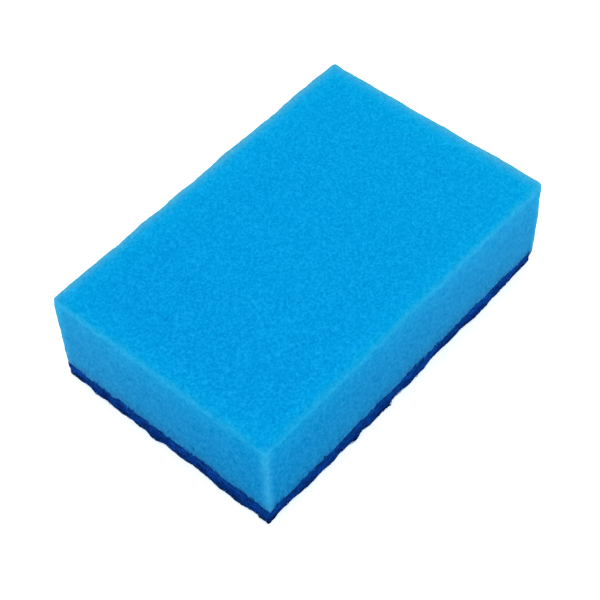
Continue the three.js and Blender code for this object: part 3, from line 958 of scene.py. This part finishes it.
def foam_material():
    m = Nodes("open_cell_foam")
    p = m.node("ShaderNodeTexCoord").outputs["Object"]

    # Cells are longer along the direction the foam rose in, which leans in this block.
    rise = m.vmath("SCALE", RISE, scale=m.math("MULTIPLY", m.vmath("DOT_PRODUCT", p, RISE), 1.0 / CELL_STRETCH - 1.0))
    ps = m.vmath("ADD", p, rise)

    # Cells a bit under a millimetre across: a pore in each, walls between them, each cell lighter or darker than its neighbours.
    wobble = m.vmath("SUBTRACT", m.noise(ps, 800.0, 1.0).outputs["Color"], (0.5, 0.5, 0.5))
    pw = m.vmath("ADD", ps, m.vmath("SCALE", wobble, scale=0.0006))
    cell = m.cells(pw, 1480.0)
    fine = m.cells(pw, 2100.0)
    own = m.node("ShaderNodeSeparateColor", {"Color": cell.outputs["Color"]}, mode="RGB").outputs[0]
    pore = m.remap(cell.outputs["Distance"], 0.10, 0.70, 1.0, 0.0, smooth=True)
    pore_fine = m.remap(fine.outputs["Distance"], 0.10, 0.65, 1.0, 0.0, smooth=True)
    soft = m.math("SUBTRACT", m.noise(ps, 1550.0, 1.0, 0.5).outputs["Fac"], 0.5)
    soft_big = m.math("SUBTRACT", m.noise(ps, 420.0, 1.0).outputs["Fac"], 0.5)

    # Fine relief
    h = m.math("MULTIPLY", m.math("MULTIPLY", pore, m.remap(own, 0, 1, 0.25, 1.0)), -1.0)
    h = m.math("MULTIPLY_ADD", pore_fine, -0.45, h)
    h = m.math("MULTIPLY_ADD", soft, 1.2, h)
    bump = m.node("ShaderNodeBump", {"Strength": 0.45, "Distance": 0.00022, "Height": h})

    # Colour by place, with a ragged edge to every zone; the zones hold the painted rim highlight and the painted shade
    # down the sides
    ragged = m.math("MULTIPLY", m.math("SUBTRACT", m.noise(p, 330.0, 2.5, 0.6).outputs["Fac"], 0.5), 2.4)
    place = m.math("SUBTRACT", m.attribute("in_mm"), m.attribute("down_mm"))
    place = m.math("ADD", place, ragged)
    # Down by the glue line the zones break up into upright teeth.
    streak = m.math("SUBTRACT", m.noise(m.vmath("MULTIPLY", p, (1.0, 1.0, 0.25)), 1500.0, 1.5).outputs["Fac"], 0.5)
    teeth = m.math("MULTIPLY", streak, m.remap(m.attribute("up_mm"), 0.2, 2.2, 4.2, 0.0))
    place = m.math("ADD", place, teeth)
    base = m.ramp(place, -26.5, 9.0, FOAM_BY_PLACE)
    side = m.remap(m.attribute("side"), 0.35, 0.85, 0.0, 1.0, smooth=True)
    # A painted highlight down the upright edges of the sides, weaker near the top.
    edge_highlight = m.remap(m.math("ADD", m.attribute("upright_mm"), m.math("MULTIPLY", ragged, 0.45)), 0.3, 3.0, 1.0, 0.0)
    edge_highlight = m.math("MULTIPLY", m.math("POWER", edge_highlight, 1.5), side)
    edge_highlight = m.math("MULTIPLY", edge_highlight, m.remap(m.attribute("down_mm"), 0.5, 4.0, 0.30, 1.0))
    base = m.vmath("ADD", base, m.vmath("SCALE", (0.022, 0.105, 0.105), scale=edge_highlight))
    # Painted light: the sides grow lighter and hazier towards their far ends.
    pale = m.math("MULTIPLY", m.math("SUBTRACT", m.attribute("along"), 0.5), side)
    base = m.vmath("ADD", base, m.vmath("SCALE", (0.0110, 0.040, 0.038), scale=pale))

    # Painted light: the top is a touch paler to the right and towards the far rims
    x = m.node("ShaderNodeSeparateXYZ", {"Vector": p}).outputs[0]
    paler = m.math("MULTIPLY_ADD", x, 14.0, m.remap(m.attribute("far_mm"), 2.0, 12.0, 1.0, 0.0, smooth=True))
    paler = m.math("MULTIPLY", paler, m.math("SUBTRACT", 1.0, side))
    base = m.vmath("ADD", base, m.vmath("SCALE", (0.0, 0.017, 0.004), scale=paler))

    # Painted sheen along the two far rims, a pale greyish blue over the foam's colour
    far = m.math("ADD", m.attribute("far_mm"), m.math("MULTIPLY", ragged, 0.25))
    rim_sheen = m.ramp(far, 0.0, 6.0, [(at, (f, f, f)) for at, f in FAR_RIM_SHEEN])
    rim_sheen = m.math("MULTIPLY", rim_sheen, m.remap(m.math("ADD", m.attribute("down_mm"), m.math("MULTIPLY", ragged, 0.4)), 0.1, 0.9, 1.0, 0.0))
    sheen_tint = m.ramp(far, 0.0, 6.0, [(0.0, (0.088, 0.415, 0.625)), (0.6, (0.098, 0.440, 0.650)), (1.3, (0.115, 0.480, 0.670))])
    base = m.mix(rim_sheen, base, sheen_tint)

    # Light and dark cells: an even lift or drop, as in pale haze over the blue. Each cell's random tone is the foam's
    # own; the drop in the pores is painted shade in the hollows.
    t = m.math("MULTIPLY", m.math("SUBTRACT", pore, 0.33), -1.7)
    t = m.math("MULTIPLY_ADD", m.math("SUBTRACT", own, 0.5), 1.6, t)
    t = m.math("MULTIPLY_ADD", m.math("SUBTRACT", pore_fine, 0.33), -1.3, t)
    t = m.math("MULTIPLY_ADD", soft, 6.5, t)
    t = m.math("MULTIPLY_ADD", soft_big, 0.4, t)
    # The cut sides are coarser and more mottled, and there is fuzz pulled out of them down by the glue line.
    cell_s = m.cells(pw, 1360.0)
    own_s = m.node("ShaderNodeSeparateColor", {"Color": cell_s.outputs["Color"]}, mode="RGB").outputs[0]
    pore_s = m.remap(cell_s.outputs["Distance"], 0.10, 0.70, 1.0, 0.0, smooth=True)
    soft_s = m.math("SUBTRACT", m.noise(ps, 1290.0, 1.0, 0.5).outputs["Fac"], 0.5)
    big_s = m.math("SUBTRACT", m.noise(ps, 430.0, 1.0).outputs["Fac"], 0.5)
    # The side pores are darker too: painted shade in the hollows.
    ts = m.math("MULTIPLY", m.math("SUBTRACT", pore_s, 0.33), -1.6)
    ts = m.math("MULTIPLY_ADD", m.math("SUBTRACT", own_s, 0.5), 1.5, ts)
    ts = m.math("MULTIPLY_ADD", soft_s, 6.5, ts)
    ts = m.math("MULTIPLY_ADD", big_s, 3.0, ts)
    ts = m.math("MULTIPLY_ADD", streak, m.remap(m.attribute("up_mm"), 0.2, 4.0, 7.0, 0.0), ts)
    t = m.math("MULTIPLY_ADD", side, m.math("SUBTRACT", ts, t), t)
    # Burst cells darker: painted shade in the deep pits.
    t = m.math("MULTIPLY_ADD", m.attribute("burst"), -3.5, t)
    haze_top, haze_side = (0.0021, 0.026, 0.037), (0.0031, 0.0177, 0.0270)
    haze = m.mix(side, haze_top, haze_side)
    lit = m.vmath("ADD", base, m.vmath("SCALE", haze, scale=t))
    lit = m.vmath("MAXIMUM", lit, (0.0002, 0.02, 0.05))
    colour = m.vmath("SCALE", lit, scale=1.0 / FOAM_LIGHT)

    b = m.bsdf.inputs
    m.put(b["Base Color"], colour)
    m.put(b["Roughness"], m.remap(pore, 0, 1, 0.90, 1.0))
    m.put(b["Normal"], bump.outputs[0])
    b["Specular IOR Level"].default_value = 0.0
    b["Subsurface Weight"].default_value = 0.10
    b["Subsurface Radius"].default_value = (0.3, 0.8, 1.0)
    b["Subsurface Scale"].default_value = 0.0006
    return m.mat


def bond_material():
    m = Nodes("adhesive_film")
    p = m.node("ShaderNodeTexCoord").outputs["Object"]
    patch = m.noise(p, 320.0, 3.0, 0.6).outputs["Fac"]
    colour = m.mix(m.remap(patch, 0.3, 0.7, 0, 1), (0.004, 0.060, 0.170), (0.010, 0.130, 0.300))
    m.put(m.bsdf.inputs["Base Color"], colour)
    m.put(m.bsdf.inputs["Roughness"], m.remap(patch, 0.3, 0.7, 0.55, 0.8))
    m.bsdf.inputs["Specular IOR Level"].default_value = 0.15
    bump = m.node("ShaderNodeBump", {"Strength": 0.4, "Distance": 0.0001, "Height": patch})
    m.put(m.bsdf.inputs["Normal"], bump.outputs[0])
    return m.mat


# The pad's colour by height above its working face, in millimetres. It darkens towards the working face: painted shade
# near the floor. The band just under the glue line is lighter: painted light against the shade under the foam's edge.
PAD_BY_HEIGHT = [
    (0.0, (0.0008, 0.0080, 0.050)),
    (0.4, (0.0012, 0.0135, 0.076)),
    (0.9, (0.0018, 0.0270, 0.155)),
    (2.0, (0.0020, 0.0345, 0.208)),
    (3.0, (0.0020, 0.0365, 0.222)),
    (3.8, (0.0020, 0.0390, 0.224)),
    (4.15, (0.0020, 0.0470, 0.262)),
    (4.35, (0.0022, 0.0480, 0.262)),
    (4.6, (0.0020, 0.0400, 0.205)),
]
PAD_LIGHT = 0.95  # what a white matt surface would show there


def pad_material():
    m = Nodes("scouring_web")
    p = m.node("ShaderNodeTexCoord").outputs["Object"]
    clump = m.noise(p, 420.0, 4.0, 0.65).outputs["Fac"]
    gap = m.cells(p, 900.0)
    void = m.remap(gap.outputs["Distance"], 0.15, 0.65, 1.0, 0.0, smooth=True)
    colour = m.ramp(m.attribute("tone_mm"), 0.0, 4.7, PAD_BY_HEIGHT)
    shade = m.math("MULTIPLY_ADD", m.math("SUBTRACT", clump, 0.5), 2.2, 0.84)
    # The gaps in the web are darkened: painted shade in the hollows; the clumps' lighter and darker patches are random
    # tone.
    shade = m.math("MULTIPLY_ADD", void, -0.60, shade)
    colour = m.vmath("SCALE", colour, scale=m.math("MULTIPLY", m.math("MAXIMUM", shade, 0.2), 1.0 / PAD_LIGHT))
    m.put(m.bsdf.inputs["Base Color"], colour)
    m.put(m.bsdf.inputs["Roughness"], m.remap(clump, 0.3, 0.7, 0.75, 0.95))
    m.bsdf.inputs["Specular IOR Level"].default_value = 0.0
    h = m.math("MULTIPLY_ADD", void, -0.8, clump)
    bump = m.node("ShaderNodeBump", {"Strength": 0.8, "Distance": 0.0004, "Height": h})
    m.put(m.bsdf.inputs["Normal"], bump.outputs[0])
    return m.mat


def fibre_material():
    m = Nodes("scouring_fibre")
    p = m.node("ShaderNodeTexCoord").outputs["Object"]
    grit = m.noise(p, 3200.0, 3.0, 0.6).outputs["Fac"]  # abrasive grains in the resin on each fibre
    clump = m.noise(p, 300.0, 2.0).outputs["Fac"]
    colour = m.ramp(m.attribute("tone_mm"), 0.0, 4.7, PAD_BY_HEIGHT)
    shade = m.remap(m.attribute("shade"), 0.0, 1.0, 0.42, 1.78)
    shade = m.math("MULTIPLY_ADD", m.math("SUBTRACT", grit, 0.5), 0.9, shade)
    shade = m.math("MULTIPLY_ADD", m.math("SUBTRACT", clump, 0.5), 1.4, shade)
    colour = m.vmath("SCALE", colour, scale=m.math("MULTIPLY", m.math("MAXIMUM", shade, 0.2), 1.0 / PAD_LIGHT))
    m.put(m.bsdf.inputs["Base Color"], colour)
    m.put(m.bsdf.inputs["Roughness"], m.remap(grit, 0.3, 0.7, 0.55, 0.85))
    m.bsdf.inputs["Specular IOR Level"].default_value = 0.01
    bump = m.node("ShaderNodeBump", {"Strength": 0.5, "Distance": 0.00004, "Height": grit})
    m.put(m.bsdf.inputs["Normal"], bump.outputs[0])
    return m.mat


def floor_material():
    m = Nodes("pale_floor")
    p = m.node("ShaderNodeTexCoord").outputs["Object"]
    n = m.noise(p, 30.0, 2.0).outputs["Fac"]
    m.put(m.bsdf.inputs["Base Color"], m.mix(n, (0.93, 0.93, 0.93), (0.95, 0.95, 0.95)))
    m.bsdf.inputs["Roughness"].default_value = 1.0
    m.bsdf.inputs["Specular IOR Level"].default_value = 0.0
    # Right up against the pad the floor's emission is tinted blue: painted bounce light from the pad.
    at = m.node("ShaderNodeSeparateXYZ", {"Vector": m.vmath("ABSOLUTE", p)})
    dx = m.math("MAXIMUM", m.math("SUBTRACT", at.outputs[0], 0.0500), 0.0)
    dy = m.math("MAXIMUM", m.math("SUBTRACT", at.outputs[1], 0.0325), 0.0)
    near = m.remap(m.math("SQRT", m.math("ADD", m.math("MULTIPLY", dx, dx), m.math("MULTIPLY", dy, dy))), 0.0002, 0.0016, 1.0, 0.0, smooth=True)
    m.put(m.bsdf.inputs["Emission Color"], m.vmath("ADD", (1.0, 1.0, 1.0), m.vmath("SCALE", (-0.12, 0.20, 0.50), scale=near)))
    m.bsdf.inputs["Emission Strength"].default_value = 0.28
    return m.mat


foam.data.materials.append(foam_material())
bond.data.materials.append(bond_material())
pad.data.materials.append(pad_material())
fibre = fibre_material()
side_fibres.data.materials.append(fibre)
glue_line_fibres.data.materials.append(fibre)
face_fibres.data.materials.append(fibre)


def make_floor():
    s = 3.0
    mesh = bpy.data.meshes.new("floor")
    mesh.from_pydata([(-s, -s, 0), (s, -s, 0), (s, s, 0), (-s, s, 0)], [], [(0, 1, 2, 3)])
    o = bpy.data.objects.new("floor", mesh)
    scene.collection.objects.link(o)
    mesh.materials.append(floor_material())


make_floor()

# ----------------------------------------------------------------------------------------------------------------
# What rides where, and what stands for which CAD solid
# ----------------------------------------------------------------------------------------------------------------
for piece, node, slot in (
    (foam, "foam_block", "foam"),
    (bond, "bond_layer", "adhesive"),
    (pad, "scouring_pad", "scouring_fibre"),
    (side_fibres, "scouring_pad", "scouring_fibre"),
    (glue_line_fibres, "scouring_pad", "scouring_fibre"),
    (face_fibres, "scouring_pad", "scouring_fibre"),
):
    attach(piece, "root")
    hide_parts(node)
